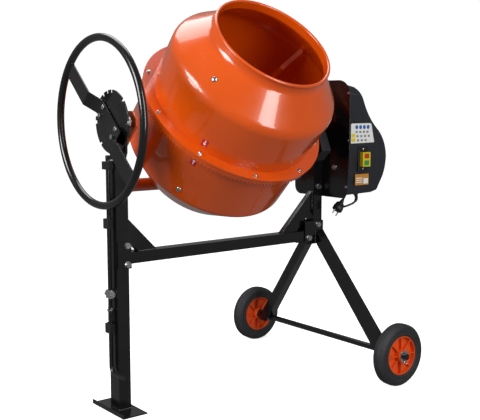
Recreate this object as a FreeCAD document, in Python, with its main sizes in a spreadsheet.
import FreeCAD, Part
import math
import os
import Sketcher

V = FreeCAD.Vector
TURN = 360.0

# ----------------------------------------------------------------------------------------------
# Driving sizes, millimetres and degrees.  X runs along the rail from the foot leg (X = 0) to the
# motor, the mouth of the drum leans towards -Y, and the floor is Z = 0.
SIZES = [
    ("leg_x", 40.0, "foot leg, outside width along X"),
    ("leg_y", 50.0, "foot leg, outside width along Y"),
    ("tube_wall", 2.5, "wall of the square tubes"),
    ("span", 775.0, "foot leg centre to motor post centre"),
    ("post_x", 38.0, "motor post, outside width along X"),
    ("post_y", 38.0, "motor post, outside width along Y"),
    ("rail_top", 470.0, "floor to top of the rail"),
    ("rail_height", 34.0, "height of the rail tube"),
    ("rail_width", 42.0, "width of the rail tube"),
    ("brace_width", 46.0, "width of the two corner braces"),
    ("plate_thick", 4.0, "clamp and joint plates"),
    ("foot_x", 82.0, "foot plate along X"),
    ("foot_y", 182.0, "foot plate along Y"),
    ("wheel_dia", 200.0, "road wheel"),
    ("wheel_width", 44.0, "width of the tyre"),
    ("wheel_track", 720.0, "distance between the wheel centres"),
    ("axle_x", 813.0, "axle, distance from the foot leg"),
    ("axle_dia", 20.0, "axle bar"),
    ("strut_x", 34.0, "wheel struts, outside width along X"),
    ("strut_deep", 29.0, "wheel struts, outside depth"),
    ("tilt_height", 849.0, "floor to the tilt axis"),
    ("drum_tilt", 44.5, "lean of the drum axis from upright, degrees"),
    ("drum_x", 399.0, "drum centre, distance from the foot leg"),
    ("flange_dia", 602.0, "joint flange of the drum"),
    ("flange_level", 52.0, "top of the joint flange above the tilt axis, along the drum axis"),
    ("drum_dia", 548.0, "lower half of the drum, outside"),
    ("neck_dia", 364.0, "neck of the mouth, outside"),
    ("mouth_level", 325.0, "rim of the mouth above the tilt axis, along the drum axis"),
    ("base_level", 245.0, "bottom of the drum below the tilt axis, along the drum axis"),
    ("base_dia", 372.0, "flat bottom of the drum"),
    ("drum_sheet", 2.5, "sheet of the drum"),
    ("ring_teeth", 150.0, "teeth of the ring gear, a count"),
    ("pinion_teeth", 15.0, "teeth of the pinion, a count"),
    ("mesh_radius", 297.0, "outer end of the gear teeth, from the drum axis"),
    ("mesh_face", 18.0, "face width of the gears"),
    ("arm_width", 60.0, "yoke arms"),
    ("arm_thick", 8.0, "yoke arms"),
    ("arm_reach", 345.0, "drum centre to the inside of a yoke arm"),
    ("cross_dia", 42.0, "cross tube of the yoke"),
    ("cross_level", 290.0, "cross tube below the tilt axis, along the drum axis"),
    ("spindle_dia", 30.0, "spindle the drum turns on"),
    ("pivot_dia", 25.0, "left trunnion"),
    ("sleeve_dia", 28.0, "right trunnion sleeve, outside"),
    ("shaft_dia", 20.0, "drive shaft"),
    ("disc_dia", 184.0, "locking disc"),
    ("disc_x", -14.0, "rim of the locking disc, along X"),
    ("disc_thick", 4.0, "locking disc"),
    ("notch_width", 9.0, "notches of the locking disc"),
    ("rim_dia", 496.0, "handwheel, outside"),
    ("rim_tube", 22.0, "tube of the handwheel"),
    ("rim_x", -55.0, "plane of the handwheel, along X"),
    ("strap_width", 50.0, "flat bar across the handwheel"),
    ("strap_thick", 5.0, "flat bar across the handwheel"),
    ("strap_turn", 47.5, "lean of the flat bar from upright, degrees"),
    ("rod_dia", 12.0, "lock rod"),
    ("rod_x", -30.5, "lock rod, along X"),
    ("lock_gap", 2.4, "lock pawl below the disc when the pedal holds it down"),
    ("house_depth", 184.0, "motor cover, depth along X"),
    ("house_near", 140.0, "motor cover, tilt axis to the switch side"),
    ("house_far", 122.0, "motor cover, tilt axis to the far side"),
    ("house_low", 592.0, "floor to the underside of the motor cover"),
    ("house_high", 971.0, "floor to the top of the motor cover"),
    ("cover_wall", 3.0, "wall of the motor cover"),
    ("pulley_dia", 180.0, "large pulley"),
    ("motor_dia", 118.0, "motor"),
    ("motor_height", 700.0, "floor to the motor shaft"),
    ("bolt_dia", 10.0, "frame bolts"),
    ("cord_dia", 7.0, "mains lead"),
    ("running_gap", 0.05, "radial clearance of running fits"),
]

doc = FreeCAD.newDocument("Mixer")
sheet = doc.addObject("Spreadsheet::Sheet", "Sizes")
for row, (alias, value, note) in enumerate(SIZES, start=1):
    sheet.set("A%d" % row, note)
    sheet.set("B%d" % row, str(value))
    sheet.setAlias("B%d" % row, alias)
doc.recompute()


class Dim(float):
    """A number that remembers the sheet expression it stands for."""

    def __new__(cls, value, text=None):
        made = float.__new__(cls, value)
        made.text = text if text else "(%r)" % float(value)
        return made

    def _join(self, other, sign, value, swap=False):
        other = other if isinstance(other, Dim) else Dim(other)
        first, last = (other, self) if swap else (self, other)
        return Dim(value, "(%s %s %s)" % (first.text, sign, last.text))

    def __add__(self, other):
        return self._join(other, "+", float(self) + float(other))

    def __radd__(self, other):
        return self._join(other, "+", float(other) + float(self), True)

    def __sub__(self, other):
        return self._join(other, "-", float(self) - float(other))

    def __rsub__(self, other):
        return self._join(other, "-", float(other) - float(self), True)

    def __mul__(self, other):
        return self._join(other, "*", float(self) * float(other))

    def __rmul__(self, other):
        return self._join(other, "*", float(other) * float(self), True)

    def __truediv__(self, other):
        return self._join(other, "/", float(self) / float(other))

    def __neg__(self):
        return Dim(-float(self), "(-1 * %s)" % self.text)


def size(alias):
    return Dim(float(sheet.get(alias)), "Sizes." + alias)


def text_of(value):
    return value.text if isinstance(value, Dim) else "%r" % float(value)


def sine(angle):
    return Dim(math.sin(math.radians(angle)), "sin(%s * 1 deg)" % text_of(angle))


def cosine(angle):
    return Dim(math.cos(math.radians(angle)), "cos(%s * 1 deg)" % text_of(angle))


def bind(thing, name, value):
    """Ties a property to the sheet, or sets it when it is a plain number."""
    if isinstance(value, Dim) and "Sizes." in value.text:
        thing.setExpression(name, value.text)
    elif name.startswith("Placement.Base."):
        place = thing.Placement
        setattr(place.Base, name[-1], float(value))
        thing.Placement = place
    else:
        setattr(thing, name, float(value))


def place(thing, x=0.0, y=0.0, z=0.0, axis=None, angle=0.0):
    if axis is not None:
        thing.Placement = FreeCAD.Placement(V(0, 0, 0), FreeCAD.Rotation(V(*axis), float(angle)))
    for letter, value in zip("xyz", (x, y, z)):
        bind(thing, "Placement.Base." + letter, value)
    if axis is not None and isinstance(angle, Dim) and "Sizes." in angle.text:
        thing.setExpression("Placement.Rotation.Angle", "%s * 1 deg" % angle.text)
    return thing


NODES = []


def node(thing, label):
    thing.Label = label
    NODES.append(thing)
    return thing


# ---- sketches and features -------------------------------------------------------------------
def new_body(name):
    return doc.addObject("PartDesign::Body", name)


def new_sketch(body, plane, offset=0.0):
    sketch = body.newObject("Sketcher::SketchObject", "Sketch")
    for feature in body.Origin.OriginFeatures:
        if feature.Role == plane:
            sketch.AttachmentSupport = [(feature, "")]
    sketch.MapMode = "FlatFace"
    sketch.AttachmentOffset = FreeCAD.Placement(V(0, 0, float(offset)), FreeCAD.Rotation())
    if isinstance(offset, Dim) and "Sizes." in offset.text:
        sketch.setExpression("AttachmentOffset.Base.z", offset.text)
    return sketch


def pin(sketch, edge, end, point):
    """Holds one end of an edge at a point given in sheet sizes."""
    for kind, value, axis in (("DistanceX", point[0], -2), ("DistanceY", point[1], -1)):
        if float(value) == 0.0:
            sketch.addConstraint(Sketcher.Constraint("PointOnObject", edge, end, axis))
            continue
        made = sketch.addConstraint(Sketcher.Constraint(kind, -1, 1, edge, end, float(value)))
        if isinstance(value, Dim) and "Sizes." in value.text:
            sketch.setExpression("Constraints[%d]" % made, value.text)


def add_loop(sketch, points, arcs=None):
    """A closed outline; arcs maps the index of an edge to a point that edge bows through."""
    arcs = arcs or {}
    first = sketch.GeometryCount
    count = len(points)
    flat = [V(float(x), float(y), 0) for x, y in points]
    ends = []
    for index in range(count):
        start, end = flat[index], flat[(index + 1) % count]
        ends.append((1, 2))
        if index in arcs:
            middle = V(float(arcs[index][0]), float(arcs[index][1]), 0)
            if (middle - start).cross(end - middle).z < 0:
                start, end = end, start
                ends[-1] = (2, 1)
            sketch.addGeometry(Part.Arc(start, middle, end), False)
        else:
            sketch.addGeometry(Part.LineSegment(start, end), False)
    for index in range(count):
        after = (index + 1) % count
        sketch.addConstraint(Sketcher.Constraint(
            "Coincident", first + index, ends[index][1], first + after, ends[after][0]))
    for index in range(count):
        pin(sketch, first + index, ends[index][0], points[index])
    for index in arcs:
        chord = flat[(index + 1) % count] - flat[index]
        middle = sketch.Geometry[first + index].Center
        if abs(chord.x) > abs(chord.y):
            rule = Sketcher.Constraint("DistanceY", -1, 1, first + index, 3, middle.y)
        else:
            rule = Sketcher.Constraint("DistanceX", -1, 1, first + index, 3, middle.x)
        sketch.addConstraint(rule)


def add_circle(sketch, x, y, radius):
    made = sketch.addGeometry(Part.Circle(V(float(x), float(y), 0), V(0, 0, 1), float(radius)), False)
    pin(sketch, made, 3, (x, y))
    rule = sketch.addConstraint(Sketcher.Constraint("Radius", made, float(radius)))
    if isinstance(radius, Dim) and "Sizes." in radius.text:
        sketch.setExpression("Constraints[%d]" % rule, radius.text)


def pad(body, sketch, length, centred=False, flip=False):
    made = body.newObject("PartDesign::Pad", "Pad")
    made.Profile = sketch
    bind(made, "Length", length)
    made.Midplane = centred
    made.Reversed = flip
    return made


def pocket(body, sketch, length=None, flip=False):
    """Cuts to a depth, or right through both ways when no depth is given."""
    made = body.newObject("PartDesign::Pocket", "Pocket")
    made.Profile = sketch
    made.Reversed = flip
    if length is None:
        made.Type = "Length"
        made.Length = 3000.0
        made.Midplane = True
    else:
        bind(made, "Length", length)
    return made


def turned(body, sketch, kind="Revolution", axis="H_Axis"):
    made = body.newObject("PartDesign::" + kind, kind)
    made.Profile = sketch
    made.ReferenceAxis = (sketch, [axis])
    made.Angle = TURN
    return made


def polar(body, feature, sketch, count, axis="N_Axis"):
    doc.recompute()
    made = body.newObject("PartDesign::PolarPattern", "Ring")
    made.Originals = [feature]
    made.Axis = (sketch, [axis])
    made.Angle = TURN
    made.Occurrences = int(count)
    body.Tip = made
    return made


def rounded(body, radius, wanted):
    """Rounds the edges of the body's tip for which wanted(edge) holds."""
    doc.recompute()
    base = body.Tip
    names = ["Edge%d" % number for number, edge in enumerate(base.Shape.Edges, start=1) if wanted(edge)]
    if not names:
        raise ValueError("no edge to round on " + body.Name)
    made = body.newObject("PartDesign::Fillet", "Round")
    made.Base = (base, names)
    bind(made, "Radius", radius)
    body.Tip = made
    return made


def upright(edge, axis, x=None, y=None, near=1.0):
    """True for a straight edge along an axis that passes the given cross position."""
    if not isinstance(edge.Curve, Part.Line):
        return False
    along = edge.Curve.Direction
    if abs(getattr(along, axis)) < 0.999:
        return False
    others = [letter for letter in "xyz" if letter != axis]
    spot = edge.valueAt(edge.FirstParameter)
    tests = ((others[0], x), (others[1], y))
    return all(value is None or abs(getattr(spot, letter) - float(value)) < near for letter, value in tests)


def hoop(edge, radius, level=None, axis="z", near=0.6):
    """True for a circular edge of a given radius at a given level along the axis."""
    if not isinstance(edge.Curve, Part.Circle):
        return False
    if abs(edge.Curve.Radius - float(radius)) > near:
        return False
    return level is None or abs(getattr(edge.Curve.Center, axis) - float(level)) < near


def prism(name, plane, points, length, centred=True, offset=0.0, flip=False, arcs=None):
    body = new_body(name)
    sketch = new_sketch(body, plane, offset)
    add_loop(sketch, points, arcs)
    pad(body, sketch, length, centred, flip)
    return body


def square_tube(name, plane, wide, high, length, offset=0.0, flip=False):
    """A square tube: an outline with a smaller one inside it, padded."""
    wall = size("tube_wall")
    body = new_body(name)
    sketch = new_sketch(body, plane, offset)
    for half_w, half_h in ((wide / 2, high / 2), (wide / 2 - wall, high / 2 - wall)):
        add_loop(sketch, [(-half_w, -half_h), (half_w, -half_h), (half_w, half_h), (-half_w, half_h)])
    pad(body, sketch, length, False, flip)
    return body


def drilled(body, plane, holes, depth=None, offset=0.0, flip=False):
    """Round holes (x, y, radius) through a body."""
    sketch = new_sketch(body, plane, offset)
    for x, y, radius in holes:
        add_circle(sketch, x, y, radius)
    return pocket(body, sketch, depth, flip)


def turned_body(name, plane, points, axis="H_Axis", arcs=None):
    body = new_body(name)
    sketch = new_sketch(body, plane)
    add_loop(sketch, points, arcs)
    turned(body, sketch, "Revolution", axis)
    return body


def solids(label, shapes):
    """Several loose solids of one kind kept together."""
    made = doc.addObject("Part::Feature", label)
    made.Shape = shapes[0] if len(shapes) == 1 else Part.makeCompound(shapes)
    return node(made, label)


def joined(name, things):
    """Keeps like pieces together as one piece of several solids."""
    made = doc.addObject("Part::Compound", name)
    made.Links = things
    return made


def hexagon(across, height, base, axis):
    """A hexagonal nut or head."""
    axis = V(axis).normalize()
    turn = FreeCAD.Rotation(V(0, 0, 1), axis)
    corner = float(across) / math.sqrt(3.0)
    ring = [V(corner * math.cos(math.radians(60 * k)), corner * math.sin(math.radians(60 * k)), 0)
            for k in range(7)]
    shape = Part.Face(Part.makePolygon(ring)).extrude(V(0, 0, float(height)))
    shape.Placement = FreeCAD.Placement(V(base), turn)
    return shape


def bolt(base, axis, dia, length, nut=False):
    """A hexagon bolt with its washer; base is where the washer rests, axis points out of the head."""
    axis = V(axis).normalize()
    dia = float(dia)
    washer = Part.makeCylinder(dia * 0.95, dia * 0.2, V(base), axis)
    head = hexagon(dia * 1.6, dia * 0.55, V(base) + axis * (dia * 0.2), axis)
    shank = Part.makeCylinder(dia / 2.0, float(length), V(base), -axis)
    made = washer.fuse(head).fuse(shank).removeSplitter()
    if nut:
        end = V(base) - axis * float(length)
        made = made.fuse(hexagon(dia * 1.6, dia * 0.7, end, -axis)).removeSplitter()
    return made


# ---- shared sizes ----------------------------------------------------------------------------
LEG_X, LEG_Y, WALL = size("leg_x"), size("leg_y"), size("tube_wall")
SPAN, POST_X, POST_Y = size("span"), size("post_x"), size("post_y")
RAIL_TOP, RAIL_HIGH, RAIL_WIDE = size("rail_top"), size("rail_height"), size("rail_width")
BRACE, PLATE = size("brace_width"), size("plate_thick")
TILT_Z, TILT, DRUM_X = size("tilt_height"), size("drum_tilt"), size("drum_x")
AXLE_X, AXLE_D, WHEEL_D = size("axle_x"), size("axle_dia"), size("wheel_dia")
GAP, BOLT_D = size("running_gap"), size("bolt_dia")
RAIL_MID = RAIL_TOP - RAIL_HIGH / 2
POST_IN = SPAN - POST_X / 2
POST_OUT = SPAN + POST_X / 2
FLAT = (1.0, 0.0, 0.0)


def tilted(thing):
    """Sets a piece, drawn about its own upright Z, on the leaning axis of the drum."""
    return place(thing, DRUM_X, 0.0, TILT_Z, FLAT, TILT)


# ---- foot leg --------------------------------------------------------------------------------
FOOT_THICK = 4.0
LEG_TOP = TILT_Z - size("disc_dia") / 2 - 19.0
foot_x0 = -5.0 - size("foot_x") / 2
foot_x1 = -5.0 + size("foot_x") / 2
foot_lip = 13.0
foot = prism("FootPlate", "XZ_Plane", [
    (foot_x0, 0.0), (foot_x1, 0.0), (foot_x1, FOOT_THICK), (foot_x0 + FOOT_THICK, FOOT_THICK),
    (foot_x0 + FOOT_THICK, foot_lip), (foot_x0, foot_lip)], size("foot_y"))
node(foot, "foot_plate")

CLAMP_Z = (RAIL_TOP + 22.0, RAIL_TOP - 33.0)
CLAMP_X = 13.0
leg = square_tube("FootLeg", "XY_Plane", LEG_X, LEG_Y, LEG_TOP - FOOT_THICK, FOOT_THICK)
drilled(leg, "XZ_Plane", [(CLAMP_X, level, BOLT_D / 2) for level in CLAMP_Z])
node(leg, "foot_leg")

# Rail between the leg and the post.
rail = new_body("Rail")
rail_sketch = new_sketch(rail, "YZ_Plane", LEG_X / 2)
for inset in (0.0, WALL):
    half, low, high = RAIL_WIDE / 2 - inset, RAIL_TOP - RAIL_HIGH + inset, RAIL_TOP - inset
    add_loop(rail_sketch, [(-half, low), (half, low), (half, high), (-half, high)])
pad(rail, rail_sketch, POST_IN - LEG_X / 2)
RAIL_BOLT = (SPAN - 45.0, RAIL_TOP - 24.0)
drilled(rail, "XZ_Plane", [RAIL_BOLT + (BOLT_D / 2,)])
node(rail, "rail")

# Corner braces of flat bar stood on edge, one at each end of the rail.
BRACE_THICK = 20.0
left_foot, left_head = LEG_X / 2 + 106.0, RAIL_TOP + 106.0
left_brace = prism("LeftBrace", "XZ_Plane", [
    (LEG_X / 2, left_head), (LEG_X / 2, left_head - BRACE * 1.42),
    (left_foot - BRACE * 1.42, RAIL_TOP), (left_foot, RAIL_TOP)], BRACE_THICK)
brace_run = 134.0
right_brace = prism("RightBrace", "XZ_Plane", [
    (POST_IN, RAIL_TOP + brace_run), (POST_IN, RAIL_TOP + brace_run - BRACE * 1.42),
    (POST_IN - brace_run + BRACE * 1.42, RAIL_TOP), (POST_IN - brace_run, RAIL_TOP)], BRACE_THICK)
node(joined("RailBraces", [left_brace, right_brace]), "rail_braces")

# Clamp plates hold the rail on the leg, front and back.
clamp_face = LEG_Y / 2
clamp_low, clamp_high = RAIL_TOP - 46.0, RAIL_TOP + 35.0
clamps = []
for side, label in ((-1, "front_clamp_plate"), (1, "rear_clamp_plate")):
    clamp = prism(label, "XZ_Plane", [
        (-LEG_X / 2 + 2.0, clamp_low), (LEG_X / 2 + 7.0, clamp_low), (LEG_X / 2 + 7.0, clamp_high),
        (-LEG_X / 2 + 2.0, clamp_high)], PLATE, False, clamp_face if side < 0 else -clamp_face, side > 0)
    drilled(clamp, "XZ_Plane", [(CLAMP_X, level, BOLT_D / 2) for level in CLAMP_Z])
    clamps.append(clamp)
node(joined("ClampPlates", clamps), "clamp_plates")

# ---- motor post and wheel struts -------------------------------------------------------------
POST_LOW, POST_TOP = RAIL_TOP - 45.0, TILT_Z + 56.0
post = new_body("Post")
post_sketch = new_sketch(post, "XY_Plane", POST_LOW)
for inset in (0.0, WALL):
    x0, x1, half = POST_IN + inset, POST_OUT - inset, POST_Y / 2 - inset
    add_loop(post_sketch, [(x0, -half), (x1, -half), (x1, half), (x0, half)])
pad(post, post_sketch, POST_TOP - POST_LOW)
BUSH_OUT = size("sleeve_dia") / 2 + 3.0
POST_BOLTS = [(SPAN + 3.0, RAIL_TOP + 149.0), (SPAN - 4.0, RAIL_TOP + 19.0)]
drilled(post, "YZ_Plane", [(0.0, TILT_Z, BUSH_OUT)])
drilled(post, "XZ_Plane", [(x, z, BOLT_D / 2) for x, z in POST_BOLTS])
node(post, "motor_post")

# Joint plates over the crossing of rail and post; the rail is a little wider than the post, so
# each plate stands on the rail and a spacer strip fills the step at the post.
plate_face = RAIL_WIDE / 2
joint_in, joint_out, joint_low, joint_high = SPAN - 62.0, SPAN + 21.0, RAIL_TOP - 46.0, RAIL_TOP + 33.0
joints = []
for side, label in ((-1, "front_joint_plate"), (1, "rear_joint_plate")):
    joint = prism(label, "XZ_Plane", [
        (joint_in, joint_low), (joint_out, joint_low), (joint_out, joint_high), (joint_in, joint_high)],
        PLATE, False, plate_face if side < 0 else -plate_face, side > 0)
    step = new_sketch(joint, "XZ_Plane", plate_face if side < 0 else -plate_face)
    step_low, step_high = joint_low + 2.0, joint_high - 1.0
    add_loop(step, [(POST_IN + 0.5, step_low), (POST_OUT, step_low), (POST_OUT, step_high),
                    (POST_IN + 0.5, step_high)])
    pad(joint, step, plate_face - POST_Y / 2, False, side < 0)
    drilled(joint, "XZ_Plane", [POST_BOLTS[1] + (BOLT_D / 2,), RAIL_BOLT + (BOLT_D / 2,)])
    joints.append(joint)
node(joined("JointPlates", joints), "joint_plates")

# Two struts spread from the joint plates to the axle.  They are drawn in an upright plane and
# then leaned along X so that their feet reach the axle.
STRUT_TOP_Z, STRUT_FOOT_Z = RAIL_TOP - 8.0, WHEEL_D / 2 - 16.0
STRUT_FOOT_Y = size("wheel_track") / 2 - 42.0
plate_out = plate_face + PLATE
strut_lean = math.degrees(math.atan2(float(AXLE_X - SPAN - 4.0), STRUT_TOP_Z - float(WHEEL_D) / 2))
STRUT_PIVOT_X = SPAN + 4.0
strut_run = STRUT_FOOT_Y - plate_out
strut_drop = STRUT_TOP_Z - STRUT_FOOT_Z
strut_long = math.hypot(float(strut_run), strut_drop)
cut_down = size("strut_deep") * (strut_long / float(strut_run))


def strut(label, side):
    body = new_body(label)
    outline = new_sketch(body, "YZ_Plane")
    top = 0.0
    low = STRUT_FOOT_Z - STRUT_TOP_Z
    face, foot_y = plate_out * side, STRUT_FOOT_Y * side
    wide = size("strut_deep") * (strut_long / strut_drop)
    inner = (plate_out + (strut_run - wide)) * side
    add_loop(outline, [(face, top + 8.0), (foot_y, low + 14.0), (foot_y, low), (inner, low),
                       (face, top + 8.0 - cut_down)])
    pad(body, outline, size("strut_x"), True)
    slope = V(0, float(strut_run) * side, -float(strut_drop)).normalize()
    across = V(0, -slope.z, slope.y) * (1.0 if side > 0 else -1.0)
    top_edge = V(0, float(face), 8.0)
    near = top_edge - across * float(WALL)
    deep = top_edge - across * float(size("strut_deep") - WALL)
    core = new_sketch(body, "YZ_Plane")
    ends = [near - slope * 60.0, near + slope * (strut_long - 40.0),
            deep + slope * (strut_long - 40.0), deep - slope * 60.0]
    add_loop(core, [(spot.y, spot.z) for spot in ends])
    hollow = body.newObject("PartDesign::Pocket", "Hollow")
    hollow.Profile = core
    hollow.Midplane = True
    bind(hollow, "Length", size("strut_x") - 2 * WALL)
    lift = float(WHEEL_D) / 2 - STRUT_TOP_Z
    turn = math.radians(strut_lean)
    reach_x = float(AXLE_X - STRUT_PIVOT_X)
    local_x = reach_x * math.cos(turn) + lift * math.sin(turn)
    local_z = -reach_x * math.sin(turn) + lift * math.cos(turn)
    drilled(body, "XZ_Plane", [(local_x, local_z, AXLE_D / 2 + GAP)])
    return place(body, STRUT_PIVOT_X, 0.0, STRUT_TOP_Z, (0, 1, 0), -strut_lean)


node(joined("AxleStruts", [strut("FrontStrut", -1), strut("RearStrut", 1)]), "axle_struts")

# ---- axle and road wheels --------------------------------------------------------------------
TRACK = size("wheel_track") / 2
TYRE_W = size("wheel_width")
HUB_HALF = 26.0
WASHER = 2.5
axle_end = TRACK + HUB_HALF + 14.0
CLIP_WIRE = 1.6
clip_y = TRACK + HUB_HALF + 8.0
axle = new_body("Axle")
axle_sketch = new_sketch(axle, "XZ_Plane")
add_circle(axle_sketch, AXLE_X, WHEEL_D / 2, AXLE_D / 2)
pad(axle, axle_sketch, 2 * axle_end, True)
drilled(axle, "XY_Plane", [(AXLE_X, clip_y, CLIP_WIRE + 0.1), (AXLE_X, -clip_y, CLIP_WIRE + 0.1)])
node(axle, "axle")


def ring(x, y, z, axis, outer, inner, length):
    shape = Part.makeCylinder(float(outer), float(length), V(float(x), float(y), float(z)), V(*axis))
    hole = Part.makeCylinder(float(inner), float(length), V(float(x), float(y), float(z)), V(*axis))
    return shape.cut(hole)


hub_in = TRACK - HUB_HALF
spacers = []
washers = []
for side in (-1, 1):
    y0 = side * (STRUT_FOOT_Y + 0.3)
    long = float(hub_in) - STRUT_FOOT_Y - 0.6
    spacers.append(ring(AXLE_X, y0, WHEEL_D / 2, (0, side, 0), 17.0, AXLE_D / 2, long))
    y1 = side * (float(TRACK) + HUB_HALF + 0.3)
    washers.append(ring(AXLE_X, y1, WHEEL_D / 2, (0, side, 0), 19.0, AXLE_D / 2, WASHER))
solids("axle_spacers", spacers)


def wheel(prefix, side):
    """A solid rubber tyre on a ribbed plastic centre, drawn with its own axis along Z."""
    outer, half = WHEEL_D / 2, TYRE_W / 2
    seat = WHEEL_D * 0.315
    tyre = turned_body(prefix + "Tyre", "XZ_Plane", [
        (seat, -half + 3.0), (seat + 6.0, -half), (outer - 16.0, -half), (outer - 3.0, -half + 9.0),
        (outer, 0.0), (outer - 3.0, half - 9.0), (outer - 16.0, half), (seat + 6.0, half),
        (seat, half - 3.0)], "V_Axis", {3: (outer - 0.8, -half / 2), 4: (outer - 0.8, half / 2),
                                        2: (outer - 7.0, -half + 3.2), 5: (outer - 7.0, half - 3.2)})
    bore = AXLE_D / 2 + GAP
    web = 5.0
    rim = turned_body(prefix + "Rim", "XZ_Plane", [
        (bore, -HUB_HALF), (20.0, -HUB_HALF), (21.0, -web), (seat - 5.0, -web), (seat - 3.5, -half + 3.0),
        (seat, -half + 3.0), (seat, half - 3.0), (seat - 3.5, half - 3.0), (seat - 5.0, web),
        (21.0, web), (20.0, HUB_HALF), (bore, HUB_HALF)], "V_Axis")
    rib = new_sketch(rim, "XY_Plane")
    add_loop(rib, [(19.0, -2.2), (seat - 3.0, -2.2), (seat - 3.0, 2.2), (19.0, 2.2)])
    blade = pad(rim, rib, 2 * half - 12.0, True)
    polar(rim, blade, rib, 8)
    for body, label in ((tyre, prefix + "_tyre"), (rim, prefix + "_rim")):
        place(body, AXLE_X, TRACK * side, WHEEL_D / 2, (1, 0, 0), 90.0)
        node(body, label)


wheel("front", -1)
wheel("rear", 1)

# Spring clips through the axle ends.
clips = []
for side in (-1, 1):
    y = side * float(clip_y)
    z = float(WHEEL_D) / 2
    x = float(AXLE_X)
    pinned = Part.makeCylinder(CLIP_WIRE, 29.0, V(x, y, z + 15.0), V(0, 0, -1))
    loop = Part.makeTorus(6.0, CLIP_WIRE, V(x, y, z - 19.0), V(0, 1, 0))
    clips.append(pinned.fuse(loop))
solids("axle_fasteners", washers + [piece for clip in clips for piece in clip.Solids])

# ---- lock rod on the foot leg ----------------------------------------------------------------
ROD_R, ROD_X = size("rod_dia") / 2, size("rod_x")
DISC_R, DISC_X = size("disc_dia") / 2, size("disc_x")
NOTCH = size("notch_width")
rod_top = LEG_TOP + 3.0
PEDAL_Z, PEDAL_REACH, PEDAL_BEND = 116.0, 84.0, 20.0
rod = new_body("LockRod")
rod_end = new_sketch(rod, "XY_Plane", rod_top)
add_circle(rod_end, ROD_X, 0.0, ROD_R)
spine = new_sketch(rod, "YZ_Plane", ROD_X)
bend = PEDAL_BEND
slant = bend * (1.0 - math.sqrt(0.5))
spine.addGeometry(Part.LineSegment(V(0, float(rod_top), 0), V(0, PEDAL_Z + bend, 0)), False)
spine.addGeometry(Part.Arc(V(0, PEDAL_Z + bend, 0), V(-slant, PEDAL_Z + slant, 0),
                           V(-bend, PEDAL_Z, 0)), False)
spine.addGeometry(Part.LineSegment(V(-bend, PEDAL_Z, 0), V(-PEDAL_REACH, PEDAL_Z, 0)), False)
pin(spine, 0, 1, (0.0, rod_top))
for edge in (0, 1, 2):
    spine.addConstraint(Sketcher.Constraint("Block", edge))
pipe = rod.newObject("PartDesign::AdditivePipe", "Pipe")
pipe.Profile = rod_end
pipe.Spine = (spine, ["Edge1", "Edge2", "Edge3"])
node(rod, "lock_rod")

pawl_half = NOTCH / 2 - 1.0
pawl_top = TILT_Z - DISC_R - size("lock_gap")
pawl_x0, pawl_x1 = ROD_X - ROD_R, DISC_X + 4.0
pawl = doc.addObject("Part::Box", "Pawl")
bind(pawl, "Length", pawl_x1 - pawl_x0)
bind(pawl, "Width", 2 * pawl_half)
bind(pawl, "Height", pawl_top - rod_top)
place(pawl, pawl_x0, -pawl_half, rod_top)
node(pawl, "lock_pawl")

guides = []
for low, high, half in ((235.0, 264.0, 15.0), (543.0, 572.0, 15.0), (LEG_TOP - 24.0, LEG_TOP - 1.0, 17.0)):
    outer_x = float(ROD_X - ROD_R) - 4.0
    block = Part.makeBox(-float(LEG_X) / 2 - outer_x, 2 * half, high - low, V(outer_x, -half, low))
    hole = Part.makeCylinder(float(ROD_R + GAP), high - low, V(float(ROD_X), 0, low))
    guides.append(block.cut(hole))
solids("rod_guides", guides)

SPRING_LOW, SPRING_HIGH, SPRING_WIRE = 264.2, 301.8, 2.0
collar = Part.makeCylinder(10.0, 3.0, V(float(ROD_X), 0, 302.0))
cross_pin = Part.makeCylinder(2.0, 24.0, V(float(ROD_X), -12.0, 308.0), V(0, 1, 0))
bore = Part.makeCylinder(float(ROD_R), 20.0, V(float(ROD_X), 0, 300.0))
fittings = [collar.cut(bore)] + cross_pin.cut(bore).Solids
clamp_block = Part.makeBox(15.0, 22.0, 24.0, V(float(ROD_X) - 7.5, -11.0, 339.0))
bolt_head = hexagon(15.0, 7.0, (float(ROD_X), -11.0, 351.0), (0, -1, 0))
bolt_nut = hexagon(15.0, 8.0, (float(ROD_X), 11.0, 351.0), (0, 1, 0))
bore = Part.makeCylinder(float(ROD_R), 30.0, V(float(ROD_X), 0, 336.0))
solids("rod_fittings", fittings + [clamp_block.cut(bore), bolt_head, bolt_nut])

coil_turns = 6.0
coil_mean = float(ROD_R) + 2.4
coil_rise = SPRING_HIGH - SPRING_LOW - SPRING_WIRE
helix = Part.makeHelix(coil_rise / coil_turns, coil_rise, coil_mean)
start = Part.Wire([Part.makeCircle(SPRING_WIRE / 2, V(coil_mean, 0, 0), V(0, 1, 0))])
coil = Part.Wire(helix).makePipeShell([start], True, True)
coil.Placement = FreeCAD.Placement(V(float(ROD_X), 0, SPRING_LOW + SPRING_WIRE / 2), FreeCAD.Rotation())
solids("lock_spring", [coil])

# ---- left bearing ----------------------------------------------------------------------------
bracket_x = LEG_X / 2 - WALL - 8.0
CHEEK = 32.0
bracket = new_body("BearingBracket")
outline = new_sketch(bracket, "YZ_Plane", bracket_x)
tuck = LEG_Y / 2 - WALL
add_loop(outline, [
    (-tuck, LEG_TOP - 90.0), (tuck, LEG_TOP - 90.0), (tuck, LEG_TOP + 4.0), (CHEEK, LEG_TOP + 24.0),
    (CHEEK, TILT_Z), (-CHEEK, TILT_Z), (-CHEEK, LEG_TOP + 24.0), (-tuck, LEG_TOP + 4.0)],
    {4: (0.0, TILT_Z + CHEEK)})
pad(bracket, outline, 8.0)
PIVOT_R = size("pivot_dia") / 2
drilled(bracket, "YZ_Plane", [(0.0, TILT_Z, PIVOT_R + 6.0)])
node(bracket, "bearing_bracket")


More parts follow.
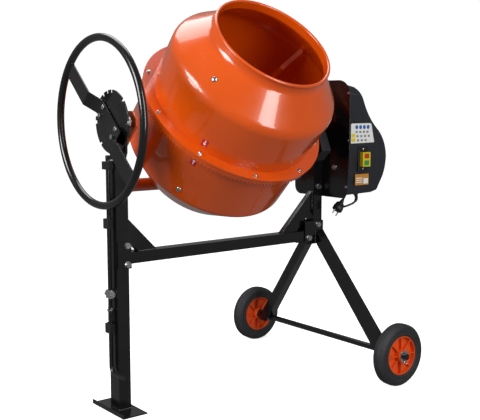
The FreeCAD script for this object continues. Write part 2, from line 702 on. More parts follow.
def collar_x(name, start, length, outer, inner, z):
    """A ring whose axis runs along X."""
    body = new_body(name)
    sketch = new_sketch(body, "YZ_Plane", start)
    add_circle(sketch, 0.0, z, outer)
    if inner:
        add_circle(sketch, 0.0, z, inner)
    pad(body, sketch, length)
    return body


left_bush = collar_x("LeftBush", bracket_x - 4.0, 16.0, PIVOT_R + 6.0, PIVOT_R + GAP, TILT_Z)
SLEEVE_R, SHAFT_R = size("sleeve_dia") / 2, size("shaft_dia") / 2
right_bush = collar_x("RightBush", POST_IN - 3.0, POST_X + 4.0, BUSH_OUT, SLEEVE_R + GAP, TILT_Z)
node(joined("TrunnionBushes", [left_bush, right_bush]), "trunnion_bushes")

# ---- yoke ------------------------------------------------------------------------------------
ARM_HALF, ARM_T, REACH = size("arm_width") / 2, size("arm_thick"), size("arm_reach")
CROSS_R, CROSS_Z = size("cross_dia") / 2, size("cross_level")
ARM_HEAD, ARM_CORNER = 28.0, 14.0
ARM_TURN, ARM_FOOT, ARM_IN = 120.0, CROSS_Z - 28.0, 78.0
arm_low = -(CROSS_Z + CROSS_R + 6.0)
knee_rise = ARM_T * math.tan(math.atan2(ARM_IN, float(ARM_FOOT) - ARM_TURN) / 2)


def arm(name, side):
    """A flat bar with a set inwards below the drum's middle, and its corners cut off."""
    out, low = REACH + ARM_T, REACH + ARM_T - ARM_IN
    line = [(out, ARM_HEAD), (out, -ARM_TURN), (low, -ARM_FOOT), (low, arm_low), (low - ARM_T, arm_low),
            (low - ARM_T, knee_rise - ARM_FOOT), (REACH, knee_rise - ARM_TURN), (REACH, ARM_HEAD)]
    body = prism(name, "XZ_Plane", [(x * side, z) for x, z in line], size("arm_width"))
    corners = new_sketch(body, "YZ_Plane")
    for way in (-1, 1):
        edge = ARM_HALF * way
        inner = (ARM_HALF - ARM_CORNER) * way
        add_loop(corners, [(edge, ARM_HEAD), (inner, ARM_HEAD), (edge, ARM_HEAD - ARM_CORNER)])
        add_loop(corners, [(edge, arm_low), (inner, arm_low), (edge, arm_low + ARM_CORNER)])
    pocket(body, corners)
    return body


left_arm, right_arm = arm("LeftArm", -1), arm("RightArm", 1)
drilled(left_arm, "YZ_Plane", [(0.0, 0.0, PIVOT_R)])
drilled(right_arm, "YZ_Plane", [(0.0, 0.0, SLEEVE_R)])
node(tilted(left_arm), "yoke_left_arm")
node(tilted(right_arm), "yoke_right_arm")

cross = new_body("CrossTube")
cross_sketch = new_sketch(cross, "YZ_Plane")
add_circle(cross_sketch, 0.0, -CROSS_Z, CROSS_R)
add_circle(cross_sketch, 0.0, -CROSS_Z, CROSS_R - 3.0)
pad(cross, cross_sketch, 2 * (REACH - ARM_IN), True)
SPIN_R = size("spindle_dia") / 2
drilled(cross, "XY_Plane", [(0.0, 0.0, SPIN_R)])
node(tilted(cross), "yoke_cross_tube")

BASE = size("base_level")
HUB_CAP = 36.0
spindle = doc.addObject("Part::Cylinder", "Spindle")
bind(spindle, "Radius", SPIN_R)
spindle_low = CROSS_Z + CROSS_R + 3.0
bind(spindle, "Height", spindle_low - BASE + HUB_CAP - 6.0)
tilted(spindle)
bind(spindle, "Placement.Base.y", spindle_low * sine(TILT))
bind(spindle, "Placement.Base.z", TILT_Z - spindle_low * cosine(TILT))
node(spindle, "spindle")

DISH = 6.0
pivot_in = DRUM_X - REACH
hub_x = DISC_X + size("disc_thick") / 2 - DISH
node(collar_x("LeftTrunnion", hub_x, pivot_in - hub_x, PIVOT_R, 0.0, TILT_Z), "left_trunnion")
sleeve_end = POST_OUT + 6.0
node(collar_x("RightTrunnion", DRUM_X + REACH, sleeve_end - DRUM_X - REACH, SLEEVE_R,
              SHAFT_R + GAP, TILT_Z), "right_trunnion")
nut_x = float(bracket_x) + 13.0
nut = hexagon(36.0, 14.0, (nut_x + 2.5, 0, float(TILT_Z)), (1, 0, 0))
flat = Part.makeCylinder(20.0, 2.5, V(nut_x, 0, float(TILT_Z)), V(1, 0, 0))
bore = Part.makeCylinder(float(PIVOT_R), 60.0, V(nut_x - 10, 0, float(TILT_Z)), V(1, 0, 0))
solids("trunnion_nut", [nut.fuse(flat).removeSplitter().cut(bore)])

# Locking disc: a dished steel disc with notches where the drum can be held.
DISC_T = size("disc_thick")
face_x = DISC_X - DISC_T / 2
disc = turned_body("LockDisc", "XZ_Plane", [
    (face_x, DISC_R), (face_x, DISC_R - 20.0), (face_x - DISH, DISC_R - 36.0), (face_x - DISH, 0.0),
    (face_x - DISH + DISC_T, 0.0), (face_x - DISH + DISC_T, DISC_R - 34.0),
    (face_x + DISC_T, DISC_R - 18.0), (face_x + DISC_T, DISC_R)])
NOTCH_ANGLES = (180.0, 135.0, -90.0, 14.0, 30.0, -1.0, -46.0, 91.0, 77.0)
notches = new_sketch(disc, "YZ_Plane")
for angle in NOTCH_ANGLES:
    out_y, out_z = sine(angle), cosine(angle)
    corners = []
    for along, across in ((DISC_R - 9.0, -1), (DISC_R - 9.0, 1), (DISC_R + 4.0, 1), (DISC_R + 4.0, -1)):
        wide = NOTCH / 2 * across
        corners.append((along * out_y - wide * out_z, along * out_z + wide * out_y))
    add_loop(notches, corners)
pocket(disc, notches)
node(place(disc, 0.0, 0.0, TILT_Z), "lock_disc")

# Handwheel: a round tube rim and a flat bar across it, joggled in to meet the disc.
RIM_R, RIM_T, RIM_X = size("rim_dia") / 2, size("rim_tube") / 2, size("rim_x")
rim = doc.addObject("Part::Torus", "HandwheelRim")
bind(rim, "Radius1", RIM_R - RIM_T)
bind(rim, "Radius2", RIM_T)
place(rim, RIM_X, 0.0, TILT_Z, (0, 1, 0), 90.0)
node(rim, "handwheel_rim")
STRAP_T = size("strap_thick")
seat_x = face_x - DISH
out_x = RIM_X + STRAP_T / 2
tip, knee, ankle = RIM_R - RIM_T, 98.0, 62.0
strap = prism("HandwheelBar", "XZ_Plane", [
    (out_x, tip), (out_x, knee), (seat_x, ankle), (seat_x, -ankle), (out_x, -knee), (out_x, -tip),
    (out_x - STRAP_T, -tip), (out_x - STRAP_T, -knee - 2.0), (seat_x - STRAP_T, -ankle - 2.0),
    (seat_x - STRAP_T, ankle + 2.0), (out_x - STRAP_T, knee + 2.0), (out_x - STRAP_T, tip)],
    size("strap_width"))
seat = new_sketch(strap, "XZ_Plane")
add_circle(seat, RIM_X, RIM_R - RIM_T, RIM_T + 0.1)
turned(strap, seat, "Groove", "H_Axis")
place(strap, 0.0, 0.0, TILT_Z, (-1.0, 0.0, 0.0), size("strap_turn"))
node(strap, "handwheel_bar")

screws = []
screw_x = float(seat_x - STRAP_T)
for along, across in ((45.0, 16.0), (45.0, -16.0), (-45.0, 16.0), (-45.0, -16.0)):
    turn = math.radians(float(size("strap_turn")))
    y = along * math.sin(turn) - across * math.cos(turn)
    z = float(TILT_Z) + along * math.cos(turn) + across * math.sin(turn)
    screws.append(hexagon(13.0, 5.5, (screw_x, y, z), (-1, 0, 0)))
solids("hub_screws", screws)

# Guard over the pinion: a shallow tray, open towards the drum.
GUARD_IN, GUARD_WALL = size("mesh_radius") + 10.0, 3.0
guard_deep = REACH - GUARD_IN
guard_shape = [(-152.0, 7.0), (-152.0, -42.0), (-131.0, -63.0), (131.0, -63.0), (152.0, -42.0),
               (152.0, 7.0), (95.0, 31.0), (-95.0, 31.0)]
guard_core = [(y * 0.975, -16.0 + (z + 16.0) * 0.935) for y, z in guard_shape]
guard = prism("PinionGuard", "YZ_Plane", guard_shape, guard_deep, False, GUARD_IN)
core = new_sketch(guard, "YZ_Plane", GUARD_IN)
add_loop(core, guard_core)
pocket(guard, core, guard_deep - GUARD_WALL, True)
drilled(guard, "YZ_Plane", [(0.0, 0.0, SHAFT_R + 3.0)])
node(tilted(guard), "pinion_guard")

# ---- drum ------------------------------------------------------------------------------------
FLANGE_R, FLANGE_Z = size("flange_dia") / 2, size("flange_level")
SHEET = size("drum_sheet")
LOWER_R, NECK_R, MOUTH = size("drum_dia") / 2, size("neck_dia") / 2, size("mouth_level")
BASE_R = size("base_dia") / 2
SHOULDER = 208.0
upper_low, upper_high = LOWER_R - 8.0, LOWER_R - 3.0
throat_r, throat_z = NECK_R + 5.0, MOUTH - 33.0
bead_low = MOUTH - 9.7
upper = turned_body("UpperShell", "XZ_Plane", [
    (FLANGE_R, FLANGE_Z - SHEET), (FLANGE_R, FLANGE_Z), (upper_low, FLANGE_Z), (upper_high, SHOULDER),
    (throat_r, throat_z), (NECK_R, bead_low), (NECK_R - 2.9, bead_low + 3.0),
    (NECK_R - 2.9, throat_z + 6.0), (throat_r - SHEET - 0.6, throat_z - 1.2),
    (upper_high - SHEET, SHOULDER - 1.2), (upper_low - SHEET, FLANGE_Z - SHEET)], "V_Axis",
    {5: (NECK_R + 6.1, MOUTH - 2.5)})
rounded(upper, 44.0, lambda edge: hoop(edge, upper_high, SHOULDER))
rounded(upper, 41.0, lambda edge: hoop(edge, upper_high - SHEET, SHOULDER - 1.2))
rounded(upper, 26.0, lambda edge: hoop(edge, throat_r, throat_z))
node(tilted(upper), "drum_upper_shell")

CREASE = -148.0
LOWER_TOP = FLANGE_Z - SHEET
lower = turned_body("LowerShell", "XZ_Plane", [
    (FLANGE_R, LOWER_TOP - SHEET), (FLANGE_R, LOWER_TOP), (LOWER_R - SHEET, LOWER_TOP),
    (LOWER_R - SHEET, CREASE + 1.0), (BASE_R - 1.0, SHEET - BASE), (30.0, SHEET - BASE), (30.0, -BASE),
    (BASE_R, -BASE), (LOWER_R, CREASE), (LOWER_R, LOWER_TOP - SHEET)], "V_Axis")
rounded(lower, 20.0, lambda edge: hoop(edge, LOWER_R, CREASE))
rounded(lower, 17.5, lambda edge: hoop(edge, LOWER_R - SHEET, CREASE + 1.0))
rounded(lower, 26.0, lambda edge: hoop(edge, BASE_R, -BASE))
rounded(lower, 23.5, lambda edge: hoop(edge, BASE_R - 1.0, SHEET - BASE))
node(tilted(lower), "drum_lower_shell")

hub = turned_body("DrumHub", "XZ_Plane", [
    (0.0, HUB_CAP - BASE), (22.0, HUB_CAP - BASE), (30.0, HUB_CAP - BASE - 8.0), (30.0, -BASE),
    (75.0, -BASE), (75.0, -BASE - 6.0), (36.0, -BASE - 6.0), (36.0, -BASE - 18.0),
    (SPIN_R + GAP, -BASE - 18.0), (SPIN_R + GAP, HUB_CAP - BASE - 5.0), (0.0, HUB_CAP - BASE - 5.0)],
    "V_Axis")
node(tilted(hub), "drum_hub")

RING_R = size("mesh_radius")
RING_COUNT = int(size("ring_teeth"))
PINION_COUNT = int(size("pinion_teeth"))
PITCH = 2 * math.pi * float(RING_R) / RING_COUNT
MODULE = PITCH / math.pi
ADDENDUM, DEDENDUM = 0.8 * MODULE, 1.0 * MODULE
FLANK = math.tan(math.radians(20.0))
TOOTH = 0.43 * PITCH
PITCH_Z = float(RING_R) * PINION_COUNT / RING_COUNT
INNER = (float(RING_R) - float(size("mesh_face"))) / float(RING_R)


def half_tooth(height):
    """Half the tooth thickness at a height above the pitch line."""
    return TOOTH / 2 - height * FLANK


def closed_solid(faces):
    """A solid from flat faces given as lists of corners, or lists of such lists for holes."""
    made = []
    for face in faces:
        loops = face if isinstance(face[0], (list, tuple)) else [face]
        flats = [Part.Face(Part.makePolygon(list(loop) + [loop[0]])) for loop in loops]
        made.append(flats[0] if len(flats) == 1 else flats[0].cut(flats[1]).Faces[0])
    shell = Part.makeShell(made)
    shell.sewShape()
    shape = Part.makeSolid(shell)
    shape.fix(0.001, 0.001, 0.001)
    return shape


def crown_ring():
    """Ring gear with teeth on its lower face; every tooth line runs to the tilt axis centre."""
    top = float(LOWER_TOP - SHEET)
    root_z, tip_z = PITCH_Z + DEDENDUM, PITCH_Z - ADDENDUM
    root_half, tip_half = half_tooth(-DEDENDUM), half_tooth(ADDENDUM)
    faces = []
    outer_top, inner_top = [], []
    step = TURN / RING_COUNT
    teeth = []
    for index in range(RING_COUNT):
        turn = FreeCAD.Rotation(V(0, 0, 1), (index + 0.5) * step)
        out = [turn.multVec(V(float(RING_R), y, z)) for y, z in (
            (-root_half, root_z), (-tip_half, tip_z), (tip_half, tip_z), (root_half, root_z))]
        low = [spot * INNER for spot in out]
        cap = [V(out[0].x, out[0].y, top), V(out[3].x, out[3].y, top)]
        inner_cap = [V(low[0].x, low[0].y, top), V(low[3].x, low[3].y, top)]
        teeth.append((out, low, cap, inner_cap))
        outer_top += cap
        inner_top += inner_cap
    for index in range(RING_COUNT):
        out, low, cap, inner_cap = teeth[index]
        after_out, after_low, after_cap, after_inner = teeth[(index + 1) % RING_COUNT]
        faces.append([out[0], out[1], out[2], out[3], cap[1], cap[0]])
        faces.append([low[0], inner_cap[0], inner_cap[1], low[3], low[2], low[1]])
        for k in range(3):
            faces.append([out[k], low[k], low[k + 1], out[k + 1]])
        faces.append([out[3], low[3], after_low[0], after_out[0]])
        faces.append([out[3], after_out[0], after_cap[0], cap[1]])
        faces.append([low[3], inner_cap[1], after_inner[0], after_low[0]])
    faces.append([outer_top, inner_top])
    return closed_solid(faces)


ring_gear = doc.addObject("Part::Feature", "RingGear")
ring_gear.Shape = crown_ring()
node(tilted(ring_gear), "ring_gear")

fix = []
bolt_circle = float(FLANGE_R) - 15.0
for index in range(10):
    turn = math.radians(3.0 + 36.0 * index)
    spot = V(bolt_circle * math.cos(turn), bolt_circle * math.sin(turn), float(FLANGE_Z))
    fix.append(hexagon(10.0, 4.5, spot, (0, 0, 1)).fuse(Part.makeCylinder(7.5, 1.2, spot)))

# Two paddles: bars bent in from the shoulder and from the wall below the joint, set aslant.
PADDLE_ANGLES = (29.4, 209.4)
PADDLE_WIDE, PADDLE_SLANT, PADDLE_MID, PADDLE_R = 14.0, 12.2, 59.5, 206.0
BOLT_UP, BOLT_DOWN, BOLT_TURN = 246.0, -115.0, 9.2
SEAT = 0.3
wall_up, wall_down = float(upper_high - SHEET) - SEAT, float(LOWER_R - SHEET) - SEAT
shoulder_in, throat_low = SHOULDER - 1.2 - SEAT, float(throat_z) - 1.2 - SEAT
throat_in = float(throat_r - SHEET) - 0.6 - SEAT
cavity_line = [V(0, 0, CREASE + 8.0), V(wall_down, 0, CREASE + 8.0), V(wall_down, 0, float(LOWER_TOP)),
               V(float(upper_low - SHEET) - SEAT, 0, float(LOWER_TOP)), V(wall_up, 0, shoulder_in),
               V(throat_in, 0, throat_low), V(0, 0, throat_low)]
cavity = Part.Face(Part.makePolygon(cavity_line + [cavity_line[0]])).revolve(V(0, 0, 0), V(0, 0, 1), TURN)
paddle_outline = [
    (wall_up - 46.5, 257.5), (wall_up - 18.5, 229.5), (PADDLE_R, 150.0), (PADDLE_R, -78.0),
    (wall_down + 3.0, -104.0), (wall_down + 3.0, -132.0), (wall_down - 3.0, -132.0),
    (wall_down - 3.0, -108.1), (PADDLE_R - 6.0, -82.1), (PADDLE_R - 6.0, 151.5), (wall_up - 26.0, 228.4),
    (wall_up - 44.7, 247.3)]
paddle_corners = [V(x, -PADDLE_WIDE / 2, z) for x, z in paddle_outline]
paddles, paddle_bolts = [], []
for angle in PADDLE_ANGLES:
    bar = Part.Face(Part.makePolygon(paddle_corners + [paddle_corners[0]])).extrude(V(0, PADDLE_WIDE, 0))
    bar.rotate(V(0, 0, PADDLE_MID), V(1, 0, 0), PADDLE_SLANT)
    bar.rotate(V(0, 0, 0), V(0, 0, 1), angle)
    paddles.append(bar.common(cavity).Solids[0])
    shoulder_r = float(upper_high) + SHOULDER - BOLT_UP
    for radius, level, way, lag in ((shoulder_r, BOLT_UP, V(1, 0, 1), -BOLT_TURN),
                                    (float(LOWER_R), BOLT_DOWN, V(1, 0, 0), BOLT_TURN)):
        turn = FreeCAD.Rotation(V(0, 0, 1), angle + lag)
        way.normalize()
        spot = V(radius, 0, level) + way * 0.02
        paddle_bolts.append(Part.makeCylinder(7.0, 4.0, turn.multVec(spot), turn.multVec(way)))
paddle = doc.addObject("Part::Feature", "Paddles")
paddle.Shape = Part.makeCompound(paddles)
node(tilted(paddle), "mixing_paddles")
heads = doc.addObject("Part::Feature", "DrumBolts")
heads.Shape = Part.makeCompound([shape.removeSplitter() for shape in fix] + paddle_bolts)
node(tilted(heads), "drum_bolts")


# ---- drive -----------------------------------------------------------------------------------
def bevel_pinion():
    root_r, tip_r = PITCH_Z - DEDENDUM, PITCH_Z + ADDENDUM
    root_half, tip_half = half_tooth(-DEDENDUM), half_tooth(ADDENDUM)
    outline = []
    for index in range(PINION_COUNT):
        turn = FreeCAD.Rotation(V(1, 0, 0), -index * TURN / PINION_COUNT)
        for y, z in ((-root_half, root_r), (-tip_half, tip_r), (tip_half, tip_r), (root_half, root_r)):
            outline.append(turn.multVec(V(float(RING_R), y, z)))
    small = [spot * INNER for spot in outline]
    count = len(outline)
    corner = float(SHAFT_R) / math.cos(math.pi / 12)
    bore = [V(0, corner * math.sin(math.radians(30 * k)), corner * math.cos(math.radians(30 * k)))
            for k in range(12)]
    near = [V(float(RING_R) * INNER, spot.y, spot.z) for spot in bore]
    far = [V(float(RING_R), spot.y, spot.z) for spot in bore]
    faces = [[outline, far], [small, near]]
    for k in range(count):
        after = (k + 1) % count
        faces.append([outline[k], outline[after], small[after], small[k]])
    for k in range(12):
        after = (k + 1) % 12
        faces.append([near[k], near[after], far[after], far[k]])
    return closed_solid(faces)


pinion = doc.addObject("Part::Feature", "Pinion")
pinion.Shape = bevel_pinion()
node(tilted(pinion), "pinion")

PULLEY_X, PULLEY_W, GROOVE = POST_OUT + 12.0, 18.0, 8.0
shaft_start = DRUM_X + RING_R - size("mesh_face") - 4.0
shaft_stop = PULLEY_X + PULLEY_W + 8.0
node(collar_x("DriveShaft", shaft_start, shaft_stop - shaft_start, SHAFT_R, 0.0, TILT_Z), "drive_shaft")


def pulley(name, radius, hole, z):
    """A grooved pulley turned about an axis along X."""
    body = turned_body(name, "XZ_Plane", [
        (PULLEY_X, hole), (PULLEY_X, radius), (PULLEY_X + 4.0, radius), (PULLEY_X + 4.0, radius - GROOVE),
        (PULLEY_X + PULLEY_W - 4.0, radius - GROOVE), (PULLEY_X + PULLEY_W - 4.0, radius),
        (PULLEY_X + PULLEY_W, radius), (PULLEY_X + PULLEY_W, hole)])
    return place(body, 0.0, 0.0, z)


PULLEY_R, SMALL_R, MOTOR_Z = size("pulley_dia") / 2, 30.0, size("motor_height")
MOTOR_SHAFT = 7.0
node(pulley("LargePulley", PULLEY_R, SHAFT_R, TILT_Z), "large_pulley")
small_x1 = PULLEY_X + PULLEY_W
rotor = turned_body("MotorPulley", "XZ_Plane", [
    (PULLEY_X, 0.0), (PULLEY_X, SMALL_R), (PULLEY_X + 4.0, SMALL_R), (PULLEY_X + 4.0, SMALL_R - GROOVE),
    (small_x1 - 4.0, SMALL_R - GROOVE), (small_x1 - 4.0, SMALL_R), (small_x1, SMALL_R),
    (small_x1, MOTOR_SHAFT), (small_x1 + 27.0, MOTOR_SHAFT), (small_x1 + 27.0, 0.0)])
node(place(rotor, 0.0, 0.0, MOTOR_Z), "motor_pulley")
BELT_X = PULLEY_X + PULLEY_W / 2 - 4.5


def belt_loop(extra):
    """Corners of a belt line that lies at a distance outside both groove floors."""
    big, small = float(PULLEY_R) - GROOVE + extra, SMALL_R - GROOVE + extra
    span = float(TILT_Z - MOTOR_Z)
    lean = math.asin((big - small) / span)
    y_big, z_big = big * math.cos(lean), float(TILT_Z) - big * math.sin(lean)
    y_small, z_small = small * math.cos(lean), float(MOTOR_Z) - small * math.sin(lean)
    points = [(y_small, z_small), (y_big, z_big), (-y_big, z_big), (-y_small, z_small)]
    arcs = {1: (0.0, float(TILT_Z) + big), 3: (0.0, float(MOTOR_Z) - small)}
    return points, arcs


belt = new_body("Belt")
belt_sketch = new_sketch(belt, "YZ_Plane", BELT_X)
for extra in (6.3, 0.3):
    points, arcs = belt_loop(extra)
    add_loop(belt_sketch, points, arcs)
pad(belt, belt_sketch, 9.0)
node(belt, "belt")

MOTOR_R = size("motor_dia") / 2
MOTOR_X = PULLEY_X + PULLEY_W + 8.0
motor = turned_body("Motor", "XZ_Plane", [
    (MOTOR_X, MOTOR_SHAFT + GAP), (MOTOR_X, MOTOR_R - 10.0), (MOTOR_X + 8.0, MOTOR_R - 4.0),
    (MOTOR_X + 10.0, MOTOR_R), (MOTOR_X + 92.0, MOTOR_R), (MOTOR_X + 96.0, MOTOR_R - 6.0),
    (MOTOR_X + 112.0, MOTOR_R - 14.0), (MOTOR_X + 112.0, 0.0), (MOTOR_X + 20.0, 0.0),
    (MOTOR_X + 20.0, MOTOR_SHAFT + GAP)])
node(place(motor, 0.0, 0.0, MOTOR_Z), "motor")
BACK_X, BACK_T = POST_OUT, 3.0
studs = []
for y in (-66.0, 66.0):
    for z in (float(MOTOR_Z) - 52.0, float(MOTOR_Z) + 48.0):
        studs.append(Part.makeCylinder(5.0, float(MOTOR_X - BACK_X) - BACK_T - 4.0,
                                       V(float(BACK_X) + BACK_T, y, z), V(1, 0, 0)))
mount = Part.makeBox(4.0, 148.0, 120.0, V(float(MOTOR_X) - 4.0, -74.0, float(MOTOR_Z) - 62.0))
mount = mount.cut(Part.makeCylinder(34.0, 10.0, V(float(MOTOR_X) - 7.0, 0, float(MOTOR_Z)), V(1, 0, 0)))
arch = Part.makeCylinder(float(PULLEY_R) + 6.0, 10.0, V(float(MOTOR_X) - 7.0, 0, float(TILT_Z)), V(1, 0, 0))
mount = mount.cut(arch)
for stud in studs:
    mount = mount.fuse(stud)
solids("motor_mount", [mount.removeSplitter()])

# ---- motor housing ---------------------------------------------------------------------------
NEAR, FAR = size("house_near"), size("house_far")
LOW, HIGH, DEEP = size("house_low"), size("house_high"), size("house_depth")
COVER_X = BACK_X + BACK_T


def house_outline(grow):
    return [(-NEAR + 10.0 - grow, LOW - grow), (FAR - 10.0 + grow, LOW - grow), (FAR + grow, HIGH + grow),
            (-NEAR - grow, HIGH + grow), (-NEAR - grow, LOW + 128.0)]


def round_house(body, start, grow, sharp):
    low_r, high_r = 22.0 + grow - sharp, 46.0 + grow - sharp
    corner = house_outline(grow)
    for index, radius in ((0, low_r), (1, low_r), (2, high_r), (3, high_r)):
        y, z = corner[index]
        rounded(body, radius, lambda edge: upright(edge, "x", y, z))


PLATE_BOLT = (-80.0, LOW + 96.0)
back = prism("BackPlate", "YZ_Plane", house_outline(7.0), BACK_T, False, BACK_X)
round_house(back, BACK_X, 7.0, 0.0)
drilled(back, "YZ_Plane", [(0.0, TILT_Z, BUSH_OUT + 1.0), (PLATE_BOLT[0], PLATE_BOLT[1], 4.5)])
node(back, "back_plate")


def house_block(name, inset):
    """The bulk of the cover: its outline from the side, trimmed by its sloping back."""
    start = COVER_X - (1.0 if inset else 0.0)
    body = prism(name, "YZ_Plane", house_outline(-inset), DEEP + 4.0, False, start)
    round_house(body, start, -inset, 0.0)
    trim = new_sketch(body, "XZ_Plane")
    far = COVER_X + DEEP
    spots = [(COVER_X - 4.0, HIGH - 6.0), (COVER_X + 34.0, HIGH - 16.0), (COVER_X + 70.0, HIGH - 61.0),
             (far - 43.0, HIGH - 158.0), (far - 1.0, HIGH - 264.0), (far - 20.0, LOW + 45.0),
             (far - 36.0, LOW + 15.0), (far - 60.0, LOW + 7.0), (COVER_X - 4.0, LOW + 3.0)]
    bows = {1: (COVER_X + 56.0, HIGH - 38.0), 2: (COVER_X + 100.0, HIGH - 115.0),
            3: (far - 8.0, HIGH - 211.0), 4: (far - 4.0, LOW + 85.0)}
    shifted = [(x - inset, z - inset if z > LOW + 100.0 else z + inset) for x, z in spots]
    shifted[0] = (COVER_X - 4.0, shifted[0][1])
    shifted[-1] = (COVER_X - 4.0, shifted[-1][1])
    moved = {key: (x - inset, z - inset * 0.5 if z > LOW + 100.0 else z + inset * 0.5)
             for key, (x, z) in bows.items()}
    frame = [(COVER_X - 4.0, LOW - 60.0), (far + 60.0, LOW - 60.0), (far + 60.0, HIGH + 60.0),
             (COVER_X - 4.0, HIGH + 60.0)]
    add_loop(trim, shifted + frame, moved)
    pocket(body, trim)
    return body


WALL_C = size("cover_wall")
cover_outer = house_block("CoverOuter", 0.0)
cover_inner = house_block("CoverInner", WALL_C)
doc.recompute()
cover = doc.addObject("Part::Cut", "Cover")
cover.Base = cover_outer
cover.Tool = cover_inner
node(cover, "motor_cover")

screws = []
for y, z in ((-float(NEAR) - 1.0, float(HIGH) - 36.0), (-float(NEAR) - 1.0, float(HIGH) - 191.0),
             (-float(NEAR) + 4.0, float(LOW) + 33.0)):
    screws.append(Part.makeCylinder(4.5, 2.5, V(float(BACK_X) - 2.5, y, z), V(1, 0, 0)))
screws.append(bolt((float(BACK_X), PLATE_BOLT[0], float(PLATE_BOLT[1])), (-1, 0, 0), 9.0, BACK_T))
solids("housing_screws", screws)

# Switch on the near side of the cover.
plate_y = -NEAR
switch_plate = doc.addObject("Part::Box", "SwitchPlate")
SWITCH_T, BOX_T = 4.0, 16.0
SWITCH_X, SWITCH_Z = COVER_X + 44.0, LOW + 83.0
for name, value in (("Length", 46.0), ("Width", SWITCH_T), ("Height", 82.0)):
    bind(switch_plate, name, value)
place(switch_plate, SWITCH_X, plate_y - SWITCH_T, SWITCH_Z)
node(switch_plate, "switch_plate")
box_face = NEAR + SWITCH_T + BOX_T
box_x0, box_x1, box_z0, box_z1 = SWITCH_X + 6.0, SWITCH_X + 42.0, SWITCH_Z + 16.0, SWITCH_Z + 64.0
switch_box = prism("SwitchBox", "XZ_Plane", [(box_x0, box_z0), (box_x1, box_z0), (box_x1, box_z1),
                                             (box_x0, box_z1)], BOX_T, False, NEAR + SWITCH_T)
BUTTON_W, BUTTON_H, BUTTON_GAP = 20.0, 15.0, 0.4
wells = new_sketch(switch_box, "XZ_Plane", box_face)
button_x, start_z, stop_z = SWITCH_X + 14.0, SWITCH_Z + 21.0, SWITCH_Z + 44.0
for z in (start_z, stop_z):
    g = BUTTON_GAP
    add_loop(wells, [(button_x - g, z - g), (button_x + BUTTON_W + g, z - g),
                     (button_x + BUTTON_W + g, z + BUTTON_H + g), (button_x - g, z + BUTTON_H + g)])
pocket(switch_box, wells, 10.0)
node(switch_box, "switch_box")
for label, z in (("start_button", start_z), ("stop_button", stop_z)):
    button = doc.addObject("Part::Box", label)
    bind(button, "Length", BUTTON_W)
    bind(button, "Width", 8.0)
    bind(button, "Height", BUTTON_H)
    place(button, button_x, -(box_face + 2.0), z)
    node(button, label)

# ---- mains lead ------------------------------------------------------------------------------
CORD_R = size("cord_dia") / 2
BENDS = [(120.0, -60.0, -6.8), (127.0, -60.0, -19.0), (113.0, -62.0, -34.0), (88.0, -57.0, -42.5),
         (70.6, -49.0, -47.7), (74.6, -35.0, -47.0), (82.3, -30.4, -34.6), (85.2, -38.2, -15.4),
         (79.4, -50.6, -3.5), (69.0, -62.0, -5.0), (57.0, -62.0, -19.0)]
ROUTE = [(float(COVER_X) + x, y, float(LOW) + z) for x, y, z in BENDS]


def rounded_route(points):
    """Straight runs joined by tangent arcs; returns the path, its length and the arc radii."""
    spots = [V(*point) for point in points]
    edges, radii = [], []
    start = spots[0]
    for index in range(1, len(spots) - 1):
        before = spots[index] - spots[index - 1]
        after = spots[index + 1] - spots[index]
        turn = before.getAngle(after)
        trim = 0.45 * min(before.Length, after.Length)
        radii.append(trim / math.tan(turn / 2))
        first = spots[index] - V(before).normalize() * trim
        last = spots[index] + V(after).normalize() * trim
        bisector = (V(after).normalize() - V(before).normalize()).normalize()
        reach = radii[-1] * (1 / math.cos(turn / 2) - 1)
        edges.append(Part.makeLine(start, first))
        edges.append(Part.Arc(first, spots[index] + bisector * reach, last).toShape())
        start = last
    edges.append(Part.makeLine(start, spots[-1]))
    wire = Part.Wire(edges)
    return wire, wire.Length, radii


route, route_long, radii = rounded_route(ROUTE)
print("cord arc radii", " ".join("%.1f" % radius for radius in radii), "length %.0f" % route_long)
first_run = V(*ROUTE[1]) - V(*ROUTE[0])
section = Part.Wire([Part.makeCircle(float(CORD_R), V(*ROUTE[0]), first_run)])
cord = route.makePipeShell([section], True, False)
print("cord volume ratio %.4f" % (cord.Volume / (math.pi * float(CORD_R) ** 2 * route_long)))
solids("mains_cord", [cord])

gland_low, gland_top = ROUTE[0][2] + 2.6, float(LOW) + 6.6
gland = Part.makeCylinder(9.0, gland_top - gland_low - 0.2, V(ROUTE[0][0], ROUTE[0][1], gland_low))
solids("cord_gland", [gland])

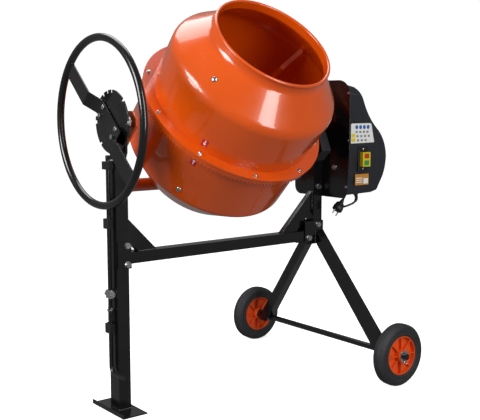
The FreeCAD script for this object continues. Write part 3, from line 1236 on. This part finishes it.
plug_axis = (V(*ROUTE[-1]) - V(*ROUTE[-2])).normalize()
plug_turn = FreeCAD.Placement(V(*ROUTE[-1]), FreeCAD.Rotation(V(0, 0, 1), plug_axis))
neck = Part.makeCone(float(CORD_R) + 1.5, 8.0, 18.0, V(0, 0, 0))
grip = Part.makeCone(15.0, 18.0, 14.0, V(0, 0, 18.0)).fuse(Part.makeCylinder(18.0, 14.0, V(0, 0, 32.0)))
plug_solid = neck.fuse(grip).removeSplitter()
plug_solid.Placement = plug_turn
solids("mains_plug", [plug_solid])
prongs = []
for x in (-9.5, 9.5):
    prong = Part.makeCylinder(2.4, 18.0, V(x, 0, 46.0))
    prong.Placement = plug_turn
    prongs.append(prong)
solids("plug_prongs", prongs)

# ---- frame bolts -----------------------------------------------------------------------------
bolts = []
for level in CLAMP_Z:
    bolts.append(bolt((CLAMP_X, -float(clamp_face + PLATE), float(level)), (0, -1, 0), BOLT_D,
                      float(2 * (clamp_face + PLATE)), True))
for x, z in (POST_BOLTS[1], RAIL_BOLT):
    bolts.append(bolt((float(x), -float(plate_out), float(z)), (0, -1, 0), BOLT_D,
                      float(2 * plate_out), True))
x, z = POST_BOLTS[0]
bolts.append(bolt((float(x), -float(POST_Y / 2), float(z)), (0, -1, 0), BOLT_D, float(POST_Y), True))
solids("frame_bolts", bolts)

# ---- checks and files ------------------------------------------------------------------------
doc.recompute()
faults = []
for thing in doc.Objects:
    if "Invalid" in thing.State or "Error" in thing.State:
        faults.append(thing.Name + " " + " ".join(thing.State))
labels = [thing.Label for thing in NODES]
if len(set(labels)) != len(labels):
    faults.append("two pieces share a label")
for thing in NODES:
    shape = thing.Shape
    if shape.isNull() or not shape.isValid() or not shape.Solids:
        faults.append(thing.Label + " has no sound shape")
if faults:
    raise SystemExit("not written: " + "; ".join(faults))
os.makedirs("parts", exist_ok=True)
for thing in NODES:
    thing.Shape.exportStep("parts/%s.step" % thing.Label)
    print("%-20s solids %2d  volume %.0f" % (thing.Label, len(thing.Shape.Solids), thing.Shape.Volume))
print("pieces", len(NODES))
